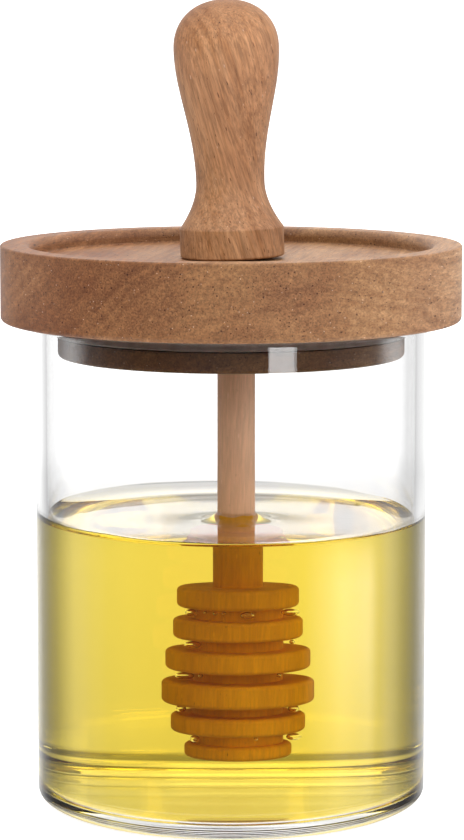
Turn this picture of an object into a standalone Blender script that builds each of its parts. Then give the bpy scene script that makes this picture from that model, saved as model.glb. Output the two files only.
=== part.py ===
"""Glass honey pot: a straight glass jar part filled with honey, closed by a turned wooden lid
with a plug and a seal ring. A honey dipper hangs through the lid from its club-shaped handle.

Metres, +Z up. The origin is the middle of the jar's foot, on the surface that it stands on.
"""

import math

import bmesh
import bpy
from mathutils import Matrix, Vector

MM = 0.001

# Clearances
GAP = 0.3 * MM
WELD = 0.001 * MM
SHARP_ANGLE = math.radians(40)

# Facets round each piece
POT_SIDES = 56
HONEY_SIDES = 40
TURNING_SIDES = 32

# Jar
JAR_RADIUS = 40.0 * MM
JAR_HEIGHT = 99.6 * MM
WALL = 2.3 * MM
BORE_RADIUS = JAR_RADIUS - WALL
BASE_THICKNESS = 2.9 * MM
FOOT_CORNER = (5.6 * MM, 3.2 * MM)
FLOOR_CORNER = (5.0 * MM, 3.0 * MM)

# Lid
LID_RADIUS = 47.0 * MM
LID_UNDERSIDE = JAR_HEIGHT + GAP
LID_HEIGHT = 15.5 * MM
LID_TOP = LID_UNDERSIDE + LID_HEIGHT
LID_TOP_EDGE = 0.5 * MM
LID_LOWER_EDGE = 0.9 * MM
RIM_WIDTH = 6.4 * MM
RIM_ROUND = 1.9 * MM
RECESS_DEPTH = 3.05 * MM
RECESS_CORNER = 0.4 * MM
RECESS_FLOOR = LID_TOP - RECESS_DEPTH
LID_HOLE = 5.3 * MM

# Plug under the lid and the ring round it
PLUG_RADIUS = 35.4 * MM
PLUG_BOTTOM = 92.8 * MM
PLUG_EDGE = 1.0 * MM
GROOVE_RADIUS = 33.4 * MM
RING_RADIUS = 36.2 * MM
RING_BOTTOM = 97.2 * MM
RING_EDGE = 0.5 * MM

# Honey
HONEY_LEVEL = 58.7 * MM
WALL_CLIMB = 1.9 * MM
ROD_CLIMB = 1.7 * MM
CLIMB_REACH = 1.5 * MM
LEAN_FADE_END = 30.0 * MM

# Handle, as heights over its own foot
HANDLE_FOOT_RADIUS = 10.6 * MM
HANDLE_FOOT_HEIGHT = 5.7 * MM
HANDLE_FOOT_EDGE = 0.5 * MM
HANDLE_WAIST_RADIUS = 6.98 * MM
HANDLE_WAIST_HEIGHT = 14.9 * MM
HANDLE_KNOB_RADIUS = 10.7 * MM
HANDLE_KNOB_HEIGHT = 42.0 * MM
HANDLE_LENGTH = 51.85 * MM
HANDLE_LEAN = math.radians(1.75)
HANDLE_SHIFT = 0.3 * MM

# Dipper: a rod with a head of discs, each given by its top, its bottom and its radius
ROD_RADIUS = 3.86 * MM
TENON_LENGTH = 12.0 * MM
DISC_CORE = 7.0 * MM
DISC_EDGE = 0.9 * MM
DISCS = (
    (46.5 * MM, 42.3 * MM, 9.4 * MM),
    (40.1 * MM, 35.9 * MM, 10.0 * MM),
    (33.7 * MM, 29.5 * MM, 11.2 * MM),
    (27.3 * MM, 22.5 * MM, 11.8 * MM),
    (20.4 * MM, 16.6 * MM, 10.4 * MM),
    (14.4 * MM, 11.4 * MM, 8.3 * MM),
)
DIPPER_LEAN = math.radians(1.0)
DIPPER_SHIFT = 1.05 * MM

# Colours, as linear red, green and blue
GLASS_COLOUR = (0.95, 0.97, 0.97)
HONEY_COLOUR = (0.86, 0.70, 0.10)
LID_COLOUR = (0.35, 0.18, 0.09)
HANDLE_COLOUR = (0.52, 0.31, 0.15)
DIPPER_COLOUR = (0.50, 0.29, 0.14)
RING_COLOUR = (0.20, 0.16, 0.14)


def clear_scene():
    """Removes what a new file starts with."""
    for thing in list(bpy.data.objects):
        bpy.data.objects.remove(thing)


def finish(name, colour, roughness, transmission=0.0, ior=1.5):
    """A Principled material, with no metal in it."""
    material = bpy.data.materials.new(name)
    material.use_nodes = True
    shader = material.node_tree.nodes["Principled BSDF"]
    shader.inputs["Base Color"].default_value = (*colour, 1.0)
    shader.inputs["Roughness"].default_value = roughness
    shader.inputs["Metallic"].default_value = 0.0
    shader.inputs["Transmission Weight"].default_value = transmission
    shader.inputs["IOR"].default_value = ior
    material.diffuse_color = (*colour, 1.0)
    return material


def oval_arc(centre, radii, start, end, steps=3):
    """Profile points on a quarter or half of an oval, from a start to an end angle in degrees."""
    points = []
    for step in range(steps + 1):
        angle = math.radians(start + (end - start) * step / steps)
        across = centre[0] + radii[0] * math.cos(angle)
        height = centre[1] + radii[1] * math.sin(angle)
        points.append((across, height))
    return points


def arc(centre, radius, start, end, steps=3):
    """Profile points on a round arc, from a start to an end angle in degrees."""
    return oval_arc(centre, (radius, radius), start, end, steps)


def curve(start, start_pull, end_pull, end, steps):
    """Profile points on a Bezier curve, without its first point."""
    points = []
    for step in range(1, steps + 1):
        share = step / steps
        rest = 1.0 - share
        weights = (rest**3, 3 * rest**2 * share, 3 * rest * share**2, share**3)
        corners = (start, start_pull, end_pull, end)
        across = sum(weight * corner[0] for weight, corner in zip(weights, corners))
        height = sum(weight * corner[1] for weight, corner in zip(weights, corners))
        points.append((across, height))
    return points


def turn(name, profile, sides, material, ring=False):
    """Turns a profile of radius and height about Z into one closed, smooth-shaded solid.

    A ring's profile closes on itself. Any other ends in two flat discs or at the axis.
    """
    shape = bmesh.new()
    points = [shape.verts.new((across, 0.0, height)) for across, height in profile]
    pairs = list(zip(points, points[1:]))
    if ring:
        pairs.append((points[-1], points[0]))
    edges = [shape.edges.new(pair) for pair in pairs]
    bmesh.ops.spin(
        shape,
        geom=points + edges,
        cent=(0.0, 0.0, 0.0),
        axis=(0.0, 0.0, 1.0),
        angle=2 * math.pi,
        steps=sides,
        use_merge=True,
    )
    bmesh.ops.remove_doubles(shape, verts=shape.verts, dist=WELD)
    rims = [edge for edge in shape.edges if edge.is_boundary]
    bmesh.ops.holes_fill(shape, edges=rims, sides=0)
    bmesh.ops.recalc_face_normals(shape, faces=shape.faces)
    mesh = bpy.data.meshes.new(name)
    shape.to_mesh(mesh)
    shape.free()
    mesh.shade_smooth()
    mesh.set_sharp_from_angle(angle=SHARP_ANGLE)
    mesh.materials.append(material)
    piece = bpy.data.objects.new(name, mesh)
    bpy.context.collection.objects.link(piece)
    return piece


def jar_profile():
    """From the foot, up the outside, over the rim and down to the floor inside."""
    foot_centre = (JAR_RADIUS - FOOT_CORNER[0], FOOT_CORNER[1])
    foot = oval_arc(foot_centre, FOOT_CORNER, -90, 0, steps=5)
    rim = arc((JAR_RADIUS - WALL / 2, JAR_HEIGHT - WALL / 2), WALL / 2, 0, 180, steps=4)
    floor_centre = (BORE_RADIUS - FLOOR_CORNER[0], BASE_THICKNESS + FLOOR_CORNER[1])
    floor = oval_arc(floor_centre, FLOOR_CORNER, 0, -90, steps=4)
    return foot + rim + floor


def lid_profile():
    """From the hole under the plug, round the outside and back over the recess."""
    wall_radius = LID_RADIUS - RIM_WIDTH
    profile = [(LID_HOLE, PLUG_BOTTOM)]
    profile += arc((PLUG_RADIUS - PLUG_EDGE, PLUG_BOTTOM + PLUG_EDGE), PLUG_EDGE, -90, 0)
    profile.append((PLUG_RADIUS, RING_BOTTOM - GAP))
    profile.append((GROOVE_RADIUS, RING_BOTTOM - GAP))
    profile.append((GROOVE_RADIUS, LID_UNDERSIDE))
    lower_edge = (LID_RADIUS - LID_LOWER_EDGE, LID_UNDERSIDE + LID_LOWER_EDGE)
    profile += arc(lower_edge, LID_LOWER_EDGE, -90, 0)
    top_edge = (LID_RADIUS - LID_TOP_EDGE, LID_TOP - LID_TOP_EDGE)
    profile += arc(top_edge, LID_TOP_EDGE, 0, 90, steps=2)
    profile += arc((wall_radius + RIM_ROUND, LID_TOP - RIM_ROUND), RIM_ROUND, 90, 180, steps=4)
    corner = (wall_radius - RECESS_CORNER, RECESS_FLOOR + RECESS_CORNER)
    profile += arc(corner, RECESS_CORNER, 0, -90, steps=2)
    profile.append((LID_HOLE, RECESS_FLOOR))
    return profile


def ring_profile():
    """A band in the groove over the plug, with rounded outer edges."""
    inner = GROOVE_RADIUS + GAP
    top = LID_UNDERSIDE - GAP
    edge_centre = RING_RADIUS - RING_EDGE
    profile = [(inner, RING_BOTTOM)]
    profile += arc((edge_centre, RING_BOTTOM + RING_EDGE), RING_EDGE, -90, 0, steps=2)
    profile += arc((edge_centre, top - RING_EDGE), RING_EDGE, 0, 90, steps=2)
    profile.append((inner, top))
    return profile


def dipper_profile():
    """From the foot of the head up over its discs to the top of the tenon."""
    profile = []
    for top, bottom, radius in reversed(DISCS):
        edge_centre = radius - DISC_EDGE
        if profile:
            profile.append((DISC_CORE, bottom))
        profile += arc((edge_centre, bottom + DISC_EDGE), DISC_EDGE, -90, 0, steps=2)
        profile += arc((edge_centre, top - DISC_EDGE), DISC_EDGE, 0, 90, steps=2)
        if top < DISCS[0][0]:
            profile.append((DISC_CORE, top))
    profile.append((ROD_RADIUS, DISCS[0][0]))
    profile.append((ROD_RADIUS, RECESS_FLOOR + TENON_LENGTH))
    return profile


def cavity_profile():
    """The room for the dipper in the honey, down from the surface, one gap all round."""
    profile = []
    for top, bottom, radius in DISCS:
        profile.append((radius + GAP, top + GAP))
        profile.append((radius + GAP, bottom - GAP))
        if bottom > DISCS[-1][1]:
            profile.append((DISC_CORE + GAP, bottom - GAP))
            next_top = max(disc[0] for disc in DISCS if disc[0] < bottom)
            profile.append((DISC_CORE + GAP, next_top + GAP))
    return [(ROD_RADIUS + GAP, DISCS[0][0] + GAP)] + profile


def surface_height(across):
    """The honey's level, with its climb up the glass and up the rod."""
    from_wall = (BORE_RADIUS - GAP - across) / CLIMB_REACH
    from_rod = (across - ROD_RADIUS - GAP) / CLIMB_REACH
    return HONEY_LEVEL + WALL_CLIMB * math.exp(-from_wall) + ROD_CLIMB * math.exp(-from_rod)


def honey_profile():
    """From its floor, up the glass, in over the surface and down round the dipper."""
    outer = BORE_RADIUS - GAP
    inner = ROD_RADIUS + GAP
    corner = (outer - FLOOR_CORNER[0], BASE_THICKNESS + GAP + FLOOR_CORNER[1])
    profile = oval_arc(corner, FLOOR_CORNER, -90, 0, steps=4)
    for from_wall in (0.0, 0.7, 1.8, 4.0):
        across = outer - from_wall * MM
        profile.append((across, surface_height(across)))
    for from_rod in (4.0, 1.8, 0.7, 0.0):
        across = inner + from_rod * MM
        profile.append((across, surface_height(across)))
    return profile + cavity_profile()


def handle_profile():
    """From the foot's flat underside up to the top of the knob."""
    edge_centre = HANDLE_FOOT_RADIUS - HANDLE_FOOT_EDGE
    foot_top = (HANDLE_FOOT_RADIUS, HANDLE_FOOT_HEIGHT)
    waist = (HANDLE_WAIST_RADIUS, HANDLE_WAIST_HEIGHT)
    knob = (HANDLE_KNOB_RADIUS, HANDLE_KNOB_HEIGHT)
    crown = HANDLE_LENGTH - HANDLE_KNOB_HEIGHT
    flare_pull = (9.0 * MM, HANDLE_FOOT_HEIGHT + 2.2 * MM)
    waist_pull = (HANDLE_WAIST_RADIUS, HANDLE_WAIST_HEIGHT - 3.6 * MM)
    neck_pull = (HANDLE_WAIST_RADIUS, HANDLE_WAIST_HEIGHT + 11.0 * MM)
    swell_pull = (HANDLE_KNOB_RADIUS, HANDLE_KNOB_HEIGHT - 9.0 * MM)
    shoulder_pull = (HANDLE_KNOB_RADIUS, HANDLE_KNOB_HEIGHT + 0.6 * crown)
    crown_pull = (0.6 * HANDLE_KNOB_RADIUS, HANDLE_LENGTH)
    profile = arc((edge_centre, HANDLE_FOOT_EDGE), HANDLE_FOOT_EDGE, -90, 0, steps=2)
    profile.append(foot_top)
    profile += curve(foot_top, flare_pull, waist_pull, waist, steps=5)
    profile += curve(waist, neck_pull, swell_pull, knob, steps=7)
    profile += curve(knob, shoulder_pull, crown_pull, (0.0, HANDLE_LENGTH), steps=7)
    return profile


def lean_matrix(angle, shift, height):
    """Leans a piece to the left about its foot, over the lid's recess and a little to the right."""
    move = Matrix.Translation(Vector((shift, 0.0, height)))
    return move @ Matrix.Rotation(-angle, 4, "Y")


def dipper_matrix():
    """Leans the dipper back about the middle of the lid's hole, its head towards the front."""
    middle = Vector((0.0, 0.0, (PLUG_BOTTOM + RECESS_FLOOR) / 2))
    lean = Matrix.Rotation(-DIPPER_LEAN, 4, "X")
    place = Matrix.Translation(middle + Vector((DIPPER_SHIFT, 0.0, 0.0)))
    return place @ lean @ Matrix.Translation(-middle)


def lean_honey(piece, lean):
    """Leans the honey's hollow with the dipper, and less and less of it towards the glass."""
    fade_start = max(radius for top, bottom, radius in DISCS) + 2 * GAP
    for vertex in piece.data.vertices:
        across = math.hypot(vertex.co.x, vertex.co.y)
        share = (LEAN_FADE_END - across) / (LEAN_FADE_END - fade_start)
        share = min(max(share, 0.0), 1.0)
        vertex.co = vertex.co.lerp(lean @ vertex.co, share)


def drill(piece, cutter):
    """Cuts a cutter out of a piece, and hides the cutter."""
    cut = piece.modifiers.new("socket", "BOOLEAN")
    cut.operation = "DIFFERENCE"
    cut.solver = "EXACT"
    cut.object = cutter
    cutter.hide_render = True
    cutter.display_type = "WIRE"


def build_handle(material, dipper_lean):
    """The handle stands on the recess on its lower left edge, with a socket for the tenon."""
    dip = HANDLE_FOOT_RADIUS * math.sin(HANDLE_LEAN)
    foot_height = RECESS_FLOOR + GAP + dip
    handle = turn("handle", handle_profile(), TURNING_SIDES, material)
    handle.matrix_world = lean_matrix(HANDLE_LEAN, HANDLE_SHIFT, foot_height)
    socket_radius = ROD_RADIUS + GAP
    socket_top = RECESS_FLOOR + TENON_LENGTH + GAP
    socket = [(socket_radius, RECESS_FLOOR), (socket_radius, socket_top)]
    cutter = turn("socket_cutter", socket, TURNING_SIDES, material)
    cutter.matrix_world = dipper_lean
    drill(handle, cutter)


def main():
    """Builds the pot's six pieces."""
    clear_scene()
    dipper_lean = dipper_matrix()
    glass = finish("clear_glass", GLASS_COLOUR, 0.02, transmission=1.0, ior=1.5)
    honey_finish = finish("honey", HONEY_COLOUR, 0.03, transmission=1.0, ior=1.35)
    lid_wood = finish("lid_wood", LID_COLOUR, 0.55)
    handle_wood = finish("handle_wood", HANDLE_COLOUR, 0.5)
    dipper_wood = finish("dipper_wood", DIPPER_COLOUR, 0.55)
    silicone = finish("silicone", RING_COLOUR, 0.4)

    turn("jar", jar_profile(), POT_SIDES, glass)
    honey = turn("honey", honey_profile(), HONEY_SIDES, honey_finish)
    lean_honey(honey, dipper_lean)
    turn("lid", lid_profile(), POT_SIDES, lid_wood, ring=True)
    turn("seal_ring", ring_profile(), POT_SIDES, silicone, ring=True)
    dipper = turn("dipper", dipper_profile(), TURNING_SIDES, dipper_wood)
    dipper.matrix_world = dipper_lean
    build_handle(handle_wood, dipper_lean)


if __name__ == "__main__":
    main()
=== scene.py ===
"""Looks of the glass honey pot: clear glass, pale golden honey, oiled wood and a silicone seal.

Everything is in metres, +Z up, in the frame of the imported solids.
"""

import math

import bmesh
import bpy
from mathutils import Matrix, Vector, noise


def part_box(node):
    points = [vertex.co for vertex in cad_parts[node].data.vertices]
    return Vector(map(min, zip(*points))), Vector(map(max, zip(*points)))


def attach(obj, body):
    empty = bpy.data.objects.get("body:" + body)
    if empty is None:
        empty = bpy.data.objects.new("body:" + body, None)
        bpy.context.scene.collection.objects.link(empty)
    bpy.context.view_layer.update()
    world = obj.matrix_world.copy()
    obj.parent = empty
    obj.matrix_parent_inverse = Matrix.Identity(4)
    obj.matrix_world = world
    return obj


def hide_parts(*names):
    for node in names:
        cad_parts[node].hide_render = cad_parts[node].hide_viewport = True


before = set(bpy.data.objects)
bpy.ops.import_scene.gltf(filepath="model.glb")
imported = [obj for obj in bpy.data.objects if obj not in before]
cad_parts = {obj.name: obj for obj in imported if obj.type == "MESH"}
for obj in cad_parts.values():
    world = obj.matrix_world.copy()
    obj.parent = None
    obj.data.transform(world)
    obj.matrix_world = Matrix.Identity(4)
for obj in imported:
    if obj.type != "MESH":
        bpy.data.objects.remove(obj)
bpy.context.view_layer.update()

MM = 0.001

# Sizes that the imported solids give
JAR_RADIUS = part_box("jar")[1].x
JAR_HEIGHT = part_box("jar")[1].z
LID_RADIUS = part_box("lid")[1].x
LID_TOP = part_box("lid")[1].z
PLUG_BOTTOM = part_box("lid")[0].z
RING_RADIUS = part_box("seal_ring")[1].x
RING_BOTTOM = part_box("seal_ring")[0].z
RING_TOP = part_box("seal_ring")[1].z
CAD_GAP = 0.3 * MM
FLOOR_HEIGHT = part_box("honey")[0].z - CAD_GAP

# Jar
WALL = 2.3 * MM
BORE_RADIUS = JAR_RADIUS - WALL
FOOT_CORNER = (5.6 * MM, 3.2 * MM)
FLOOR_CORNER = (5.0 * MM, 3.0 * MM)

# Lid and plug
LID_UNDERSIDE = RING_TOP + CAD_GAP
LID_TOP_EDGE = 0.5 * MM
LID_LOWER_EDGE = 0.9 * MM
RIM_WIDTH = 6.4 * MM
RIM_ROUND = 1.9 * MM
RECESS_DEPTH = 3.05 * MM
RECESS_CORNER = 0.4 * MM
RECESS_FLOOR = LID_TOP - RECESS_DEPTH
LID_HOLE = 5.3 * MM
PLUG_RADIUS = 35.4 * MM
PLUG_EDGE = 1.0 * MM
GROOVE_RADIUS = 33.4 * MM
RING_EDGE = 0.5 * MM

# Honey: it reaches a little into the glass and into the wood, so that no air gap shows
SINK = 0.12 * MM
HONEY_LEVEL = 58.7 * MM
WALL_CLIMB = 1.6 * MM
HIGH_SIDE = math.radians(135)
ROD_CLIMB = 1.7 * MM
CLIMB_REACH = 1.5 * MM
CLIMB_SLOPE = 0.40
CLIMB_WAVES = 0.12
CLIMB_WAVE_COUNT = 3.0
CLIMB_STEPS = 12
LEVEL_STEPS = 10
CLIMB_END = 6.0 * MM
LEAN_FADE_END = 30.0 * MM

# Handle, as heights over its own foot. A pull is how far a control point lies from its end.
HANDLE_FOOT_RADIUS = 10.6 * MM
HANDLE_FOOT_HEIGHT = 5.7 * MM
HANDLE_FOOT_EDGE = 0.5 * MM
HANDLE_FOOT_REACH = 0.24 * MM
HANDLE_SETTLE = 0.01 * MM
HANDLE_WAIST_RADIUS = 6.98 * MM
HANDLE_WAIST_HEIGHT = 14.9 * MM
HANDLE_KNOB_RADIUS = 10.7 * MM
HANDLE_KNOB_HEIGHT = 42.0 * MM
HANDLE_LENGTH = 51.85 * MM
HANDLE_FLARE_RADIUS = 9.0 * MM
HANDLE_FLARE_PULL = 2.2 * MM
HANDLE_WAIST_PULL = 3.6 * MM
HANDLE_NECK_PULL = 11.0 * MM
HANDLE_SWELL_PULL = 9.0 * MM
HANDLE_CROWN_SHARE = 0.6
HANDLE_LEAN = math.radians(1.75)
HANDLE_SHIFT = 0.3 * MM

# Dipper: a rod with a head of discs, each given by its top, its bottom and its radius
ROD_RADIUS = 3.86 * MM
TENON_LENGTH = 12.0 * MM
DISC_CORE = 7.0 * MM
DISC_EDGE = 0.9 * MM
DISCS = (
    (46.5 * MM, 42.3 * MM, 9.4 * MM),
    (40.1 * MM, 35.9 * MM, 10.0 * MM),
    (33.7 * MM, 29.5 * MM, 11.2 * MM),
    (27.3 * MM, 22.5 * MM, 11.8 * MM),
    (20.4 * MM, 16.6 * MM, 10.4 * MM),
    (14.4 * MM, 11.4 * MM, 8.3 * MM),
)
DIPPER_LEAN = math.radians(1.0)
DIPPER_SHIFT = 1.05 * MM
WET_REACH = 2.0 * MM

# Air caught under the discs: groove from the top, place from the dipper's middle, length in mm
CAUGHT_AIR = (
    (0, 8.3, -3.4, 3.0), (0, -7.4, -3.6, 1.9), (0, -3.6, -7.9, 0.8), (0, -2.2, -8.2, 0.7),
    (0, 1.6, -8.3, 2.2), (0, -5.2, -7.0, 0.6), (1, -7.2, -5.2, 2.8), (1, 8.6, -3.6, 0.9),
    (2, -8.5, -5.0, 3.2), (2, -6.0, -7.6, 0.8), (2, 6.7, -7.2, 0.8), (3, 8.9, -4.0, 1.9),
    (3, -9.0, -3.6, 1.7), (4, -6.9, -5.6, 1.6), (4, 8.9, -3.2, 2.5), (4, 3.0, -8.5, 0.7),
)
CAUGHT_HEIGHT = 1.45 * MM
CAUGHT_WIDTH = 1.4 * MM
CAUGHT_GAP = 0.05 * MM
CAUGHT_TALLNESS = 0.9
BUBBLE_SEGMENTS = 20
BUBBLE_RINGS = 12

# Shading of long straight walls stays flat with a line of points close to their ends
GUARD = 0.1 * MM
GUARD_LENGTH = 1.5 * MM

# Facets round each piece
SHARP_ANGLE = math.radians(40)
POT_SIDES = 192
TURNING_SIDES = 96

# Wood: repeats for each mm, in both directions across the grain and then along it
WAVER_REPEATS = (0.05, 0.05, 0.012)
STREAK_REPEATS = (0.9, 0.9, 0.04)
FIBRE_REPEATS = (2.6, 2.6, 0.18)
BLOTCH_REPEATS = (0.06, 0.06, 0.03)
RING_REPEATS = 0.42
RING_WAVER = 9.0
RING_TAPER = 0.02
# Width of a pore's cell in mm, and that width as a share of the cell's length
WIDE_PORE_CELL = 0.95
FINE_PORE_CELL = 0.5
SPECK_CELL = 0.8
PORE_SLIMNESS = 0.22
# Tints of blotches and pores, and what the pale specks add
BLOTCH_DARK = (0.80, 0.68, 0.60)
BLOTCH_LIGHT = (1.10, 1.08, 1.05)
PORE_TINT = (0.40, 0.32, 0.28)
SPECK_TINT = (0.14, 0.12, 0.10)
WET_TINT = (1.0, 0.80, 0.06)

# Clear materials: honey bends light less than glass, and absorbs most of its blue
GLASS_IOR = 1.47
HONEY_IOR = 1.34
HONEY_COLOUR = (0.985, 0.87, 0.0, 1.0)
HONEY_DENSITY = 34.0

# Studio floor, which starts just under the foot and shines a little
STAGE_RADIUS = 4.0
STAGE_DROP = 0.2 * MM
STAGE_SHINE = 0.8

# Studio light: level at each azimuth behind the pot, 0 straight behind and 90 at the right
WORLD_STRENGTH = 1.6
WALL_LIGHT = (
    (-90, 0.15), (-84, 0.30), (-76, 0.35), (-68, 0.32), (-60, 0.20), (-48, 0.25), (-40, 0.40),
    (-32, 0.60), (-24, 0.86), (-17, 0.98), (0, 0.87), (15, 0.88), (24, 0.84), (31, 0.76),
    (41, 0.42), (48, 0.31), (55, 0.26), (62, 0.35), (68, 0.60), (76, 0.60), (82, 0.30),
    (90, 0.15),
)
# The same from the front at -90 to the back at 90, and from below to above
FRONT_LIGHT = ((-10, 0.06), (0, 1.0))
HEIGHT_LIGHT = (
    (-23, 0.60), (-21.5, 0.27), (-18, 0.27), (-14.5, 0.66), (-9.6, 0.80), (-8.5, 0.54),
    (5, 0.54), (11, 0.64),
)
# Ground and ceiling, the same on all sides, and where they take over from the walls
POLE_LIGHT = ((-62, 0.15), (-50, 0.85), (-28, 0.52), (20, 0.70), (45, 0.75))
POLE_SHARE = ((-28, 1.0), (-22, 0.0), (14, 0.0), (28, 1.0))
# The ground close in front is bright as well
LOW_LIGHT = ((-17.5, 1.0), (-15.5, 0.0))
# Bright strips at both sides, which show in the empty part of the jar
STRIP_WIDTH = (
    (-86, 0.0), (-78, 0.8), (-70, 1.0), (-58, 0.1), (54, 0.1), (66, 1.0), (76, 0.8), (84, 0.0),
)
STRIP_HEIGHT = ((-9, 0.0), (-8, 1.0), (4, 1.0), (8, 0.0))
# A brighter field straight behind, for the empty part of the jar and the honey's surface
FIELD_WIDTH = ((-30, 0.12), (-9, 0.6), (6, 0.6), (14, 0.0))
FIELD_HEIGHT = (
    (-9.2, 0.0), (-8.2, 0.55), (4, 0.55), (7, 0.25), (8.3, 1.5), (10.3, 1.5), (11.5, 0.0),
)
# A soft glow low at the right and towards the front, which shows on the honey's right side
GLOW_WIDTH = ((20, 0.0), (40, 0.85))
GLOW_DEPTH = ((-46, 0.0), (-20, 1.0), (2, 1.0), (8, 0.0))
GLOW_HEIGHT = ((-16, 0.0), (-13, 0.55), (-11.2, 1.15), (-10.0, 1.25), (-9.7, 0.0))

# Lights: name, azimuth, distance, height, size, power, colour, aimed height, shown in glass
PLAIN = (1.0, 1.0, 1.0)
COOL = (0.88, 1.0, 1.12)
SOFT_BOXES = (
    ("soft_box_front", 29.5, 0.9, 0.025, (0.25, 0.10), 0.48, PLAIN, 0.025, True),
    ("soft_box_fill", 2.0, 1.0, 0.72, (1.2, 0.9), 8.2, PLAIN, 0.1, False),
    ("soft_box_right", 80.0, 0.9, 0.50, (1.2, 0.60), 6.0, COOL, 0.50, False),
    ("soft_box_top", 0.0, 0.15, 0.9, (0.8, 0.8), 3.8, PLAIN, 0.1, False),
)

# Camera, from the photo's ellipses and outlines
PHOTO_WIDTH = 464
PHOTO_HEIGHT = 840
AXIS_PIXEL = 231.1
FOCAL_PIXELS = 3455.0
CAMERA_DISTANCE = 702.0 * MM
CAMERA_HEIGHT = 173.0 * MM
CAMERA_PITCH = math.radians(7.62)
SENSOR = 36.0


def add_node(tree, kind, inputs=None, **settings):
    """Adds a node, sets its properties, and gives its inputs values or links."""
    made = tree.nodes.new("ShaderNode" + kind)
    for name, value in settings.items():
        setattr(made, name, value)
    for key, value in (inputs or {}).items():
        if isinstance(value, bpy.types.NodeSocket):
            tree.links.new(value, made.inputs[key])
        else:
            made.inputs[key].default_value = value
    return made


def calculate(tree, operation, first, second=0.0, third=0.0, clamp=False):
    """The output of one Math node."""
    inputs = {0: first, 1: second, 2: third}
    return add_node(tree, "Math", inputs, operation=operation, use_clamp=clamp).outputs[0]


def stretch(tree, vector, scale):
    """A vector scaled by its own amount along each axis."""
    inputs = {0: vector, 1: scale}
    return add_node(tree, "VectorMath", inputs, operation="MULTIPLY").outputs[0]


def ramp(tree, factor, stops):
    """The colour output of a ramp, from (position, colour) stops."""
    made = add_node(tree, "ValToRGB", {0: factor})
    elements = made.color_ramp.elements
    while len(elements) < len(stops):
        elements.new(0.5)
    for element, (position, colour) in zip(elements, stops):
        element.position = position
        element.color = (*colour, 1.0)
    return made.outputs["Color"]


def grey(value):
    """A grey colour."""
    return (value, value, value)


def blend(tree, kind, factor, first, second):
    """One colour mixed with another."""
    made = add_node(tree, "Mix", data_type="RGBA", blend_type=kind)
    for place, value in ((0, factor), (6, first), (7, second)):
        socket = made.inputs[place]
        if isinstance(value, bpy.types.NodeSocket):
            tree.links.new(value, socket)
        elif isinstance(value, tuple):
            socket.default_value = (*value, 1.0)
        else:
            socket.default_value = value
    return made.outputs[2]


def noise_value(tree, vector, scale, detail=2.0, roughness=0.5):
    """The value of a noise texture."""
    inputs = {"Vector": vector, "Scale": scale, "Detail": detail, "Roughness": roughness}
    return add_node(tree, "TexNoise", inputs).outputs[0]


def new_material(name):
    """A material with only its Principled shader and its output."""
    material = bpy.data.materials.new(name)
    material.use_nodes = True
    tree = material.node_tree
    return material, tree, tree.nodes["Principled BSDF"], tree.nodes["Material Output"]


def set_inputs(shader, values):
    """Sets a shader's plain inputs by name."""
    for name, value in values.items():
        shader.inputs[name].default_value = value


def pores(tree, along_grain, cell, least, most):
    """1 inside the wood's pores: one in each long thin cell, with a width of its own or none."""
    place = stretch(tree, along_grain, (1.0 / cell, 1.0 / cell, PORE_SLIMNESS / cell))
    cells = add_node(tree, "TexVoronoi", {"Vector": place, "Scale": 1.0})
    chance = add_node(tree, "SeparateColor", {0: cells.outputs["Color"]}).outputs[0]
    size = calculate(tree, "MULTIPLY_ADD", chance, most - least, least)
    return calculate(tree, "LESS_THAN", cells.outputs["Distance"], size)


def ring_value(tree, along_grain, pith):
    """The value of the growth rings, which run round the pith and waver."""
    from_pith = add_node(tree, "VectorMath", {0: along_grain, 1: pith}, operation="SUBTRACT")
    across = stretch(tree, from_pith.outputs[0], (1, 1, RING_TAPER))
    waver = noise_value(tree, stretch(tree, along_grain, WAVER_REPEATS), 1.0, 3.0)
    distance = add_node(tree, "VectorMath", {0: across}, operation="LENGTH").outputs["Value"]
    distance = calculate(tree, "MULTIPLY_ADD", waver, RING_WAVER, distance)
    ring_place = add_node(tree, "CombineXYZ", {0: distance}).outputs[0]
    return noise_value(tree, ring_place, RING_REPEATS, 3.0, 0.6)


def tint_ends(tree, normal, grain, colour, end_grain):
    """Darkens the wood where its fibres end at the surface."""
    inputs = {0: normal, 1: Vector(grain).normalized()}
    along = add_node(tree, "VectorMath", inputs, operation="DOT_PRODUCT").outputs["Value"]
    ends = calculate(tree, "ABSOLUTE", along)
    return blend(tree, "MIX", ends, colour, blend(tree, "MULTIPLY", 1.0, colour, end_grain))


def paint_left_shade(tree, position, blotches, colour, left_shade):
    """Painted shade: darkens and reddens a wide piece towards its left side, with an uneven edge.
    """
    side = add_node(tree, "SeparateXYZ", {0: position}).outputs[0]
    place = calculate(tree, "MULTIPLY_ADD", blotches, 0.05, side)
    place = calculate(tree, "MULTIPLY_ADD", place, 14.0, 0.30, clamp=True)
    return blend(tree, "MIX", place, blend(tree, "MULTIPLY", 1.0, colour, left_shade), colour)


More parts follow.
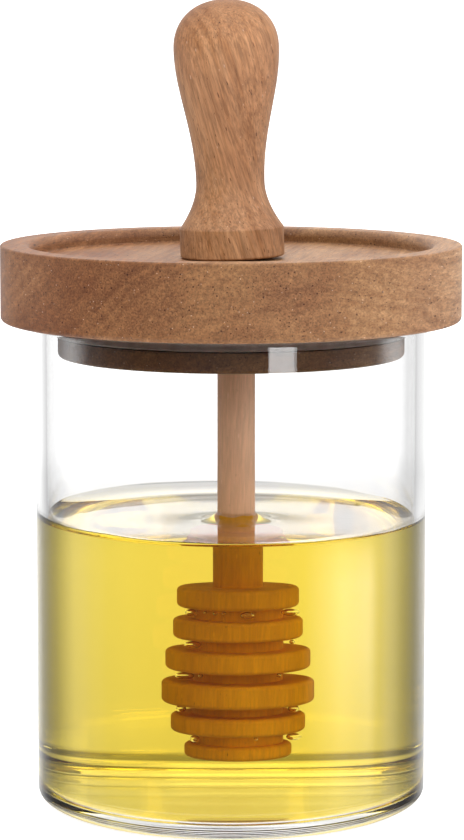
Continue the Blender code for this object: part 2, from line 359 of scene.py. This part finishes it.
def wood(name, grain, pith, light, dark, end_grain, pore_most, fibre=1.0, left_shade=None, wet=None):
    """Oiled wood, solid in all directions: rings round a pith, long fibres, blotches and pores.

    The grain is a direction, and the pith a point that the middle of the rings runs through.
    The end grain is a tint, the left shade is a painted shade tint for the left side, and wet
    changes the finished colour and roughness.
    """
    material, tree, shader, _ = new_material(name)
    coordinates = add_node(tree, "TexCoord")
    position = coordinates.outputs["Object"]
    turn_to_grain = Vector(grain).rotation_difference(Vector((0, 0, 1))).to_euler()
    inputs = {"Vector": position, "Rotation": turn_to_grain, "Scale": (1000, 1000, 1000)}
    along_grain = add_node(tree, "Mapping", inputs).outputs[0]

    rings = ring_value(tree, along_grain, pith)
    streaks = noise_value(tree, stretch(tree, along_grain, STREAK_REPEATS), 1.0, 5.0, 0.6)
    fibres = noise_value(tree, stretch(tree, along_grain, FIBRE_REPEATS), 1.0, 4.0, 0.7)
    blotches = noise_value(tree, stretch(tree, along_grain, BLOTCH_REPEATS), 1.0, 2.0)
    wide_pores = pores(tree, along_grain, WIDE_PORE_CELL, -0.02, pore_most)
    fine_pores = pores(tree, along_grain, FINE_PORE_CELL, -0.04, pore_most)
    specks = pores(tree, stretch(tree, along_grain, (-1, 1, 1)), SPECK_CELL, -0.12, 0.16)

    tone = calculate(tree, "MULTIPLY_ADD", streaks, 0.5, calculate(tree, "MULTIPLY", rings, 0.5))
    tone = ramp(tree, tone, ((0.36, grey(0.0)), (0.62, grey(1.0))))
    colour = blend(tree, "MIX", tone, dark, light)
    fibre_tone = ramp(tree, fibres, ((0.36, grey(0.66)), (0.64, grey(1.26))))
    colour = blend(tree, "MULTIPLY", fibre, colour, fibre_tone)
    patch = ramp(tree, blotches, ((0.35, BLOTCH_DARK), (0.65, BLOTCH_LIGHT)))
    colour = blend(tree, "MULTIPLY", 0.8, colour, patch)
    colour = tint_ends(tree, coordinates.outputs["Normal"], grain, colour, end_grain)
    # Painted shade: the piece grows darker and redder towards its left side
    if left_shade is not None:
        colour = paint_left_shade(tree, position, blotches, colour, left_shade)
    pore_colour = blend(tree, "MULTIPLY", 1.0, colour, PORE_TINT)
    all_pores = calculate(tree, "MAXIMUM", wide_pores, fine_pores)
    colour = blend(tree, "MIX", all_pores, colour, pore_colour)
    speck_colour = blend(tree, "ADD", 1.0, colour, SPECK_TINT)
    colour = blend(tree, "MIX", specks, colour, speck_colour)
    roughness = calculate(tree, "MULTIPLY_ADD", fibres, 0.25, 0.38)
    if wet is not None:
        colour, roughness = wet(tree, position, colour, roughness)
    tree.links.new(colour, shader.inputs["Base Color"])
    tree.links.new(roughness, shader.inputs["Roughness"])
    set_inputs(shader, {"Specular IOR Level": 0.35})
    height = calculate(tree, "SUBTRACT", calculate(tree, "MULTIPLY", fibres, 0.4), wide_pores)
    bump = add_node(tree, "Bump", {"Height": height, "Strength": 0.5, "Distance": 0.08 * MM})
    tree.links.new(bump.outputs[0], shader.inputs["Normal"])
    return material


def soaked(tree, position, colour, roughness):
    """The dipper's wood in the honey: deeper in colour, a little rougher, with an uneven edge."""
    height = add_node(tree, "SeparateXYZ", {0: position}).outputs[2]
    unevenness = noise_value(tree, position, 300.0)
    line = calculate(tree, "MULTIPLY_ADD", unevenness, 2.0 * MM, height)
    under = calculate(tree, "LESS_THAN", line, HONEY_LEVEL + WET_REACH)
    wet_colour = blend(tree, "MULTIPLY", 1.0, colour, WET_TINT)
    colour = blend(tree, "MIX", under, colour, wet_colour)
    roughness = calculate(tree, "MULTIPLY_ADD", under, 0.1, roughness)
    return colour, roughness


def ripple(tree, shader, repeats):
    """A faint waviness of a smooth surface, with so many repeats for each metre."""
    position = add_node(tree, "TexCoord").outputs["Object"]
    waves = noise_value(tree, stretch(tree, position, repeats), 1.0, 1.0)
    bump = add_node(tree, "Bump", {"Height": waves, "Strength": 0.05, "Distance": 0.2 * MM})
    tree.links.new(bump.outputs[0], shader.inputs["Normal"])


def clear_material(name, bending, repeats):
    """A clear, smooth material with a faint waviness."""
    material, tree, shader, output = new_material(name)
    set_inputs(shader, {
        "Base Color": (1.0, 1.0, 1.0, 1.0),
        "Roughness": 0.0,
        "Transmission Weight": 1.0,
        "IOR": bending,
    })
    ripple(tree, shader, repeats)
    return material, tree, output


def glass_material():
    """Clear glass, wavier across than up and down."""
    return clear_material("clear_glass", GLASS_IOR, (60.0, 60.0, 25.0))[0]


def honey_material():
    """Clear, pale golden honey, coloured by what it absorbs."""
    material, tree, output = clear_material("honey", HONEY_IOR, (40.0, 40.0, 40.0))
    inputs = {"Color": HONEY_COLOUR, "Density": HONEY_DENSITY}
    absorption = add_node(tree, "VolumeAbsorption", inputs)
    tree.links.new(absorption.outputs[0], output.inputs["Volume"])
    return material


def silicone_material():
    """Cloudy silicone that lets a little light through; its dark brown colour is painted shade from
    the lid above it.
    """
    material, tree, shader, _ = new_material("silicone")
    position = add_node(tree, "TexCoord").outputs["Object"]
    clouds = noise_value(tree, position, 400.0, 3.0)
    # Painted shade: dark brown tones stand for the shade under the lid's overhang, over the
    # silicone's cloudy variation
    colour = ramp(tree, clouds, ((0.3, (0.22, 0.15, 0.12)), (0.7, (0.31, 0.22, 0.18))))
    tree.links.new(colour, shader.inputs["Base Color"])
    roughness = calculate(tree, "MULTIPLY_ADD", clouds, 0.2, 0.25)
    tree.links.new(roughness, shader.inputs["Roughness"])
    set_inputs(shader, {"IOR": 1.41, "Subsurface Weight": 0.2, "Subsurface Scale": 0.002})
    return material


def oval_arc(centre, radii, start, end, steps=16):
    """Profile points on a part of an oval, from a start to an end angle in degrees."""
    points = []
    for step in range(steps + 1):
        angle = math.radians(start + (end - start) * step / steps)
        across = centre[0] + radii[0] * math.cos(angle)
        height = centre[1] + radii[1] * math.sin(angle)
        points.append((across, height))
    return points


def arc(centre, radius, start, end, steps=8):
    """Profile points on a round arc, from a start to an end angle in degrees."""
    return oval_arc(centre, (radius, radius), start, end, steps)


def curve(start, start_pull, end_pull, end, steps):
    """Profile points on a Bezier curve, without its first point."""
    points = []
    for step in range(1, steps + 1):
        share = step / steps
        rest = 1.0 - share
        weights = (rest**3, 3 * rest**2 * share, 3 * rest * share**2, share**3)
        corners = (start, start_pull, end_pull, end)
        across = sum(weight * corner[0] for weight, corner in zip(weights, corners))
        height = sum(weight * corner[1] for weight, corner in zip(weights, corners))
        points.append((across, height))
    return points


def guarded(profile):
    """Adds points close to both ends of each long straight run, so that its shading stays flat."""
    points = [profile[0]]
    for start, end in zip(profile, profile[1:]):
        length = math.dist(start, end)
        if length > GUARD_LENGTH:
            for share in (GUARD / length, 1.0 - GUARD / length):
                points.append(tuple(a + (b - a) * share for a, b in zip(start, end)))
        points.append(end)
    return points


def turn(name, profile, sides, material, ring=False):
    """Turns a profile of radius and height about Z into one closed, smooth-shaded piece."""
    shape = bmesh.new()
    points = [shape.verts.new((across, 0.0, height)) for across, height in guarded(profile)]
    pairs = list(zip(points, points[1:]))
    if ring:
        pairs.append((points[-1], points[0]))
    edges = [shape.edges.new(pair) for pair in pairs]
    bmesh.ops.spin(
        shape,
        geom=points + edges,
        cent=(0.0, 0.0, 0.0),
        axis=(0.0, 0.0, 1.0),
        angle=2 * math.pi,
        steps=sides,
        use_merge=True,
    )
    bmesh.ops.remove_doubles(shape, verts=shape.verts, dist=0.001 * MM)
    rims = [edge for edge in shape.edges if edge.is_boundary]
    bmesh.ops.holes_fill(shape, edges=rims, sides=0)
    bmesh.ops.recalc_face_normals(shape, faces=shape.faces)
    mesh = bpy.data.meshes.new(name)
    shape.to_mesh(mesh)
    shape.free()
    mesh.shade_smooth()
    mesh.set_sharp_from_angle(angle=SHARP_ANGLE)
    mesh.materials.append(material)
    piece = bpy.data.objects.new(name, mesh)
    bpy.context.scene.collection.objects.link(piece)
    return piece


def stands_for(piece, node):
    """The piece rides on the part's one body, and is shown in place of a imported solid."""
    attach(piece, "root")
    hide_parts(node)


def lean_matrix(angle, shift, height):
    """Leans a piece to the left about its foot, over the lid's recess and a little to the right."""
    move = Matrix.Translation(Vector((shift, 0.0, height)))
    return move @ Matrix.Rotation(-angle, 4, "Y")


def dipper_matrix():
    """Leans the dipper back about the middle of the lid's hole, its head towards the front."""
    middle = Vector((0.0, 0.0, (PLUG_BOTTOM + RECESS_FLOOR) / 2))
    lean = Matrix.Rotation(-DIPPER_LEAN, 4, "X")
    place = Matrix.Translation(middle + Vector((DIPPER_SHIFT, 0.0, 0.0)))
    return place @ lean @ Matrix.Translation(-middle)


def build_jar():
    """The glass: foot, wall, rounded rim, and the floor inside with its rounded corner."""
    foot_across = JAR_RADIUS - FOOT_CORNER[0]
    profile = [(foot_across - GUARD, 0.0)]
    profile += oval_arc((foot_across, FOOT_CORNER[1]), FOOT_CORNER, -90, 0)
    profile += arc((JAR_RADIUS - WALL / 2, JAR_HEIGHT - WALL / 2), WALL / 2, 0, 180, steps=12)
    floor_across = BORE_RADIUS - FLOOR_CORNER[0]
    profile += oval_arc((floor_across, FLOOR_HEIGHT + FLOOR_CORNER[1]), FLOOR_CORNER, 0, -90)
    profile.append((floor_across - GUARD, FLOOR_HEIGHT))
    jar = turn("glass_jar", profile, POT_SIDES, glass_material())
    stands_for(jar, "jar")


def surface_height(across):
    """The honey's level, with its climb up the glass and up the rod."""
    from_wall = (BORE_RADIUS - across) / CLIMB_REACH
    from_rod = (across - ROD_RADIUS) / CLIMB_REACH
    return HONEY_LEVEL + WALL_CLIMB * math.exp(-from_wall) + ROD_CLIMB * math.exp(-from_rod)


def honey_surface():
    """Profile points from the glass to the rod, closer together where the honey climbs."""
    outer = BORE_RADIUS + SINK
    inner = ROD_RADIUS - SINK
    near = [CLIMB_END * (step / CLIMB_STEPS) ** 2 for step in range(CLIMB_STEPS + 1)]
    from_wall = [outer - distance for distance in near]
    from_rod = [inner + distance for distance in reversed(near)]
    span = from_rod[0] - from_wall[-1]
    flat = [from_wall[-1] + span * step / LEVEL_STEPS for step in range(1, LEVEL_STEPS)]
    return [(across, surface_height(across)) for across in from_wall + flat + from_rod]


def cavity_profile():
    """The hollow that the dipper fills, down from the surface, just inside the wood."""
    profile = [(ROD_RADIUS - SINK, DISCS[0][0] - SINK)]
    for top, bottom, radius in DISCS:
        edge_centre = radius - DISC_EDGE
        profile += arc((edge_centre, top - DISC_EDGE), DISC_EDGE - SINK, 90, 0, steps=5)
        profile += arc((edge_centre, bottom + DISC_EDGE), DISC_EDGE - SINK, 0, -90, steps=5)
        if bottom > DISCS[-1][1]:
            profile.append((DISC_CORE - SINK, bottom + SINK))
            next_top = max(disc[0] for disc in DISCS if disc[0] < bottom)
            profile.append((DISC_CORE - SINK, next_top - SINK))
    return profile


def shape_honey(piece):
    """Lets the honey climb higher on one side, and leans its hollow with the dipper."""
    lean = dipper_matrix()
    fade_start = max(radius for top, bottom, radius in DISCS)
    for vertex in piece.data.vertices:
        across = math.hypot(vertex.co.x, vertex.co.y)
        if vertex.co.z > HONEY_LEVEL and across > LEAN_FADE_END:
            angle = math.atan2(vertex.co.y, vertex.co.x)
            spot = Vector((math.cos(angle), math.sin(angle), 0.0)) * CLIMB_WAVE_COUNT
            slope = CLIMB_SLOPE * math.cos(angle - HIGH_SIDE)
            change = 1.0 + slope + CLIMB_WAVES * noise.noise(spot)
            vertex.co.z = HONEY_LEVEL + (vertex.co.z - HONEY_LEVEL) * change
        share = (LEAN_FADE_END - across) / (LEAN_FADE_END - fade_start)
        share = min(max(share, 0.0), 1.0)
        vertex.co = vertex.co.lerp(lean @ vertex.co, share)


def bubble_places():
    """The places and sizes of the bubbles under the discs, leaning with the dipper."""
    lean = dipper_matrix()
    places = []
    for groove, right, back, length in CAUGHT_AIR:
        tall = min(CAUGHT_HEIGHT, length * CAUGHT_TALLNESS * MM)
        height = DISCS[groove][1] - tall / 2 - CAUGHT_GAP
        sizes = (length / 2 * MM, min(CAUGHT_WIDTH, length * MM) / 2, tall / 2, 1.0)
        centre = Vector((right * MM, back * MM, height))
        places.append(lean @ Matrix.Translation(centre) @ Matrix.Diagonal(sizes))
    return places


def add_bubbles(piece):
    """Cuts the air out of the honey, as closed hollows."""
    shape = bmesh.new()
    shape.from_mesh(piece.data)
    for place in bubble_places():
        segments = {"u_segments": BUBBLE_SEGMENTS, "v_segments": BUBBLE_RINGS}
        made = bmesh.ops.create_uvsphere(shape, radius=1.0, **segments)
        bmesh.ops.transform(shape, matrix=place, verts=made["verts"])
        faces = {face for vertex in made["verts"] for face in vertex.link_faces}
        bmesh.ops.reverse_faces(shape, faces=list(faces))
        for face in faces:
            face.smooth = True
    shape.to_mesh(piece.data)
    shape.free()


def build_honey():
    """The honey, from its floor up the glass, in over the surface and down round the dipper."""
    floor_across = BORE_RADIUS - FLOOR_CORNER[0]
    corner = (floor_across, FLOOR_HEIGHT + FLOOR_CORNER[1])
    reach = (FLOOR_CORNER[0] + SINK, FLOOR_CORNER[1] + SINK)
    profile = [(floor_across - GUARD, FLOOR_HEIGHT - SINK)]
    profile += oval_arc(corner, reach, -90, 0) + honey_surface() + cavity_profile()
    honey = turn("honey_fill", profile, POT_SIDES, honey_material())
    shape_honey(honey)
    add_bubbles(honey)
    stands_for(honey, "honey")


def build_lid():
    """The lid: hole, plug with its groove, outside, rim and recess, as one turned ring."""
    wall_radius = LID_RADIUS - RIM_WIDTH
    profile = [(LID_HOLE, PLUG_BOTTOM)]
    profile += arc((PLUG_RADIUS - PLUG_EDGE, PLUG_BOTTOM + PLUG_EDGE), PLUG_EDGE, -90, 0)
    profile.append((PLUG_RADIUS, RING_BOTTOM - CAD_GAP))
    profile.append((GROOVE_RADIUS, RING_BOTTOM - CAD_GAP))
    profile.append((GROOVE_RADIUS, LID_UNDERSIDE))
    lower_edge = (LID_RADIUS - LID_LOWER_EDGE, LID_UNDERSIDE + LID_LOWER_EDGE)
    profile += arc(lower_edge, LID_LOWER_EDGE, -90, 0)
    top_edge = (LID_RADIUS - LID_TOP_EDGE, LID_TOP - LID_TOP_EDGE)
    profile += arc(top_edge, LID_TOP_EDGE, 0, 90, steps=6)
    profile += arc((wall_radius + RIM_ROUND, LID_TOP - RIM_ROUND), RIM_ROUND, 90, 180, steps=12)
    corner = (wall_radius - RECESS_CORNER, RECESS_FLOOR + RECESS_CORNER)
    profile += arc(corner, RECESS_CORNER, 0, -90, steps=6)
    profile.append((LID_HOLE, RECESS_FLOOR))
    # The lid's left side takes a darker, redder tint, which is painted shade
    finish = wood("lid_wood", grain=(0.17, 0.98, 0.0), pith=(12.0, -60.0, 0.0),
                  light=(0.36, 0.205, 0.105), dark=(0.21, 0.10, 0.043),
                  end_grain=(0.58, 0.50, 0.36), pore_most=0.21, left_shade=(0.76, 0.58, 0.46))
    lid = turn("wooden_lid", profile, POT_SIDES, finish, ring=True)
    stands_for(lid, "lid")


def build_ring():
    """The silicone band in the groove over the plug."""
    inner = GROOVE_RADIUS + CAD_GAP
    edge_centre = RING_RADIUS - RING_EDGE
    profile = [(inner, RING_BOTTOM)]
    profile += arc((edge_centre, RING_BOTTOM + RING_EDGE), RING_EDGE, -90, 0)
    profile += arc((edge_centre, RING_TOP - RING_EDGE), RING_EDGE, 0, 90)
    profile.append((inner, RING_TOP))
    ring = turn("seal_band", profile, POT_SIDES, silicone_material(), ring=True)
    stands_for(ring, "seal_ring")


def build_dipper():
    """The rod and the head, from the foot of the head up over its discs to the tenon."""
    profile = []
    for top, bottom, radius in reversed(DISCS):
        edge_centre = radius - DISC_EDGE
        if profile:
            profile.append((DISC_CORE, bottom))
        profile += arc((edge_centre, bottom + DISC_EDGE), DISC_EDGE, -90, 0, steps=5)
        profile += arc((edge_centre, top - DISC_EDGE), DISC_EDGE, 0, 90, steps=5)
        if top < DISCS[0][0]:
            profile.append((DISC_CORE, top))
    profile.append((ROD_RADIUS, DISCS[0][0]))
    profile.append((ROD_RADIUS, RECESS_FLOOR + TENON_LENGTH))
    finish = wood("dipper_wood", grain=(0.03, 0.02, 1.0), pith=(14.0, 9.0, 0.0),
                  light=(0.98, 0.59, 0.37), dark=(0.86, 0.49, 0.30),
                  end_grain=(0.9, 0.85, 0.8), pore_most=0.08, fibre=0.3, wet=soaked)
    dipper = turn("wooden_dipper", profile, TURNING_SIDES, finish)
    dipper.data.transform(dipper_matrix())
    stands_for(dipper, "dipper")


def build_handle():
    """The handle: a flat foot, a waist and a round knob, leaning on its lower left edge."""
    edge_centre = HANDLE_FOOT_RADIUS - HANDLE_FOOT_EDGE
    foot_top = (HANDLE_FOOT_RADIUS, HANDLE_FOOT_HEIGHT)
    waist = (HANDLE_WAIST_RADIUS, HANDLE_WAIST_HEIGHT)
    knob = (HANDLE_KNOB_RADIUS, HANDLE_KNOB_HEIGHT)
    crown = HANDLE_LENGTH - HANDLE_KNOB_HEIGHT
    flare_pull = (HANDLE_FLARE_RADIUS, HANDLE_FOOT_HEIGHT + HANDLE_FLARE_PULL)
    waist_pull = (HANDLE_WAIST_RADIUS, HANDLE_WAIST_HEIGHT - HANDLE_WAIST_PULL)
    neck_pull = (HANDLE_WAIST_RADIUS, HANDLE_WAIST_HEIGHT + HANDLE_NECK_PULL)
    swell_pull = (HANDLE_KNOB_RADIUS, HANDLE_KNOB_HEIGHT - HANDLE_SWELL_PULL)
    shoulder_pull = (HANDLE_KNOB_RADIUS, HANDLE_KNOB_HEIGHT + HANDLE_CROWN_SHARE * crown)
    crown_pull = (HANDLE_CROWN_SHARE * HANDLE_KNOB_RADIUS, HANDLE_LENGTH)
    edge_height = HANDLE_FOOT_EDGE - HANDLE_FOOT_REACH
    profile = [(edge_centre - GUARD, -HANDLE_FOOT_REACH)]
    profile += arc((edge_centre, edge_height), HANDLE_FOOT_EDGE, -90, 0)
    profile.append(foot_top)
    profile += curve(foot_top, flare_pull, waist_pull, waist, steps=16)
    profile += curve(waist, neck_pull, swell_pull, knob, steps=24)
    profile += curve(knob, shoulder_pull, crown_pull, (0.0, HANDLE_LENGTH), steps=24)
    finish = wood("handle_wood", grain=(0.3, 0.1, -0.95), pith=(16.0, 12.0, 0.0),
                  light=(0.38, 0.206, 0.102), dark=(0.24, 0.108, 0.041),
                  end_grain=(0.85, 0.78, 0.7), pore_most=0.17)
    handle = turn("wooden_handle", profile, TURNING_SIDES, finish)
    dip = HANDLE_FOOT_RADIUS * math.sin(HANDLE_LEAN)
    foot_height = RECESS_FLOOR + CAD_GAP + dip - HANDLE_SETTLE
    handle.data.transform(lean_matrix(HANDLE_LEAN, HANDLE_SHIFT, foot_height))
    stands_for(handle, "handle")


def build_stage():
    """A plain pale floor under a soft studio light."""
    mesh = bpy.data.meshes.new("floor")
    shape = bmesh.new()
    bmesh.ops.create_circle(shape, cap_ends=True, segments=96, radius=STAGE_RADIUS)
    shape.to_mesh(mesh)
    shape.free()
    floor = bpy.data.objects.new("floor", mesh)
    bpy.context.scene.collection.objects.link(floor)
    floor.location.z = -STAGE_DROP
    material, tree, shader, _ = new_material("pale_floor")
    position = add_node(tree, "TexCoord").outputs["Object"]
    tone = noise_value(tree, position, 3.0)
    colour = ramp(tree, tone, ((0.0, grey(0.86)), (1.0, grey(0.90))))
    tree.links.new(colour, shader.inputs["Base Color"])
    shine = {"Emission Color": (1, 1, 1, 1), "Emission Strength": STAGE_SHINE}
    set_inputs(shader, {"Roughness": 0.9, **shine})
    mesh.materials.append(material)
    floor.visible_transmission = False
    floor.visible_glossy = False


def angle_stops(levels):
    """Ramp stops for light levels at angles in degrees, from -90 at 0 to 90 at 1."""
    return [(0.5 + 0.5 * math.sin(math.radians(angle)), grey(level)) for angle, level in levels]


def build_world():
    """A studio: a pale wall behind, bright strips at both sides, a glow and a dark front."""
    world = bpy.data.worlds.new("studio")
    bpy.context.scene.world = world
    world.use_nodes = True
    tree = world.node_tree
    background = tree.nodes["Background"]
    direction = add_node(tree, "TexCoord").outputs["Generated"]
    parts = add_node(tree, "SeparateXYZ", {0: direction})
    level = add_node(tree, "CombineXYZ", {0: parts.outputs[0], 1: parts.outputs[1]}).outputs[0]
    flat = add_node(tree, "VectorMath", {0: level}, operation="NORMALIZE").outputs[0]
    sides = add_node(tree, "SeparateXYZ", {0: flat})
    side = calculate(tree, "MULTIPLY_ADD", sides.outputs[0], 0.5, 0.5)
    walls = ramp(tree, side, angle_stops(WALL_LIGHT))
    rise = calculate(tree, "MULTIPLY_ADD", parts.outputs[2], 0.5, 0.5)
    front = calculate(tree, "MULTIPLY_ADD", sides.outputs[1], 0.5, 0.5)
    depth = ramp(tree, front, angle_stops(FRONT_LIGHT))
    low = ramp(tree, rise, angle_stops(LOW_LIGHT))
    depth = blend(tree, "LIGHTEN", 1.0, depth, low)
    heights = ramp(tree, rise, angle_stops(HEIGHT_LIGHT))
    around = blend(tree, "MULTIPLY", 1.0, blend(tree, "MULTIPLY", 1.0, walls, depth), heights)
    glow_depth = ramp(tree, front, angle_stops(GLOW_DEPTH))
    for widths, spread, nearness in (
        (FIELD_WIDTH, FIELD_HEIGHT, depth),
        (STRIP_WIDTH, STRIP_HEIGHT, depth),
        (GLOW_WIDTH, GLOW_HEIGHT, glow_depth),
    ):
        extra = ramp(tree, side, angle_stops(widths))
        extra = blend(tree, "MULTIPLY", 1.0, extra, ramp(tree, rise, angle_stops(spread)))
        extra = blend(tree, "MULTIPLY", 1.0, extra, nearness)
        around = blend(tree, "ADD", 1.0, around, extra)
    poles = ramp(tree, rise, angle_stops(POLE_LIGHT))
    light = blend(tree, "MIX", ramp(tree, rise, angle_stops(POLE_SHARE)), around, poles)
    tree.links.new(light, background.inputs["Color"])
    background.inputs["Strength"].default_value = WORLD_STRENGTH


def soft_box(name, azimuth, distance, height, size, power, colour, aim, shown):
    """A rectangular light that faces the pot. Azimuth 0 is the camera's side, 90 the right."""
    data = bpy.data.lights.new(name, "AREA")
    data.shape = "RECTANGLE"
    data.size, data.size_y = size
    data.energy = power
    data.color = colour
    box = bpy.data.objects.new(name, data)
    bpy.context.scene.collection.objects.link(box)
    angle = math.radians(azimuth)
    box.location = (distance * math.sin(angle), -distance * math.cos(angle), height)
    target = Vector((0.0, 0.0, aim))
    box.rotation_mode = "QUATERNION"
    box.rotation_quaternion = (target - box.location).to_track_quat("-Z", "Y")
    box.visible_glossy = shown


def build_camera():
    """The photo's camera, with no shift: it stands a little to the right of the pot's axis."""
    data = bpy.data.cameras.new("camera")
    data.sensor_width = SENSOR
    data.lens = FOCAL_PIXELS / max(PHOTO_WIDTH, PHOTO_HEIGHT) * SENSOR
    data.clip_start = 0.01
    data.clip_end = 50.0
    camera = bpy.data.objects.new("camera", data)
    bpy.context.scene.collection.objects.link(camera)
    side_step = (PHOTO_WIDTH / 2 - AXIS_PIXEL) / FOCAL_PIXELS * CAMERA_DISTANCE
    camera.location = (side_step, -CAMERA_DISTANCE, CAMERA_HEIGHT)
    camera.rotation_euler = (math.pi / 2 - CAMERA_PITCH, 0.0, 0.0)
    bpy.context.scene.camera = camera


def set_light_paths():
    """Enough bounces for glass within honey within glass, and plain display colours."""
    scene = bpy.context.scene
    scene.cycles.max_bounces = 32
    scene.cycles.transmission_bounces = 32
    scene.cycles.glossy_bounces = 12
    scene.cycles.diffuse_bounces = 4
    scene.cycles.use_denoising = True
    scene.view_settings.view_transform = "Standard"
    scene.view_settings.look = "None"


build_camera()
build_world()
build_stage()
for settings in SOFT_BOXES:
    soft_box(*settings)
set_light_paths()
build_jar()
build_honey()
build_lid()
build_ring()
build_dipper()
build_handle()
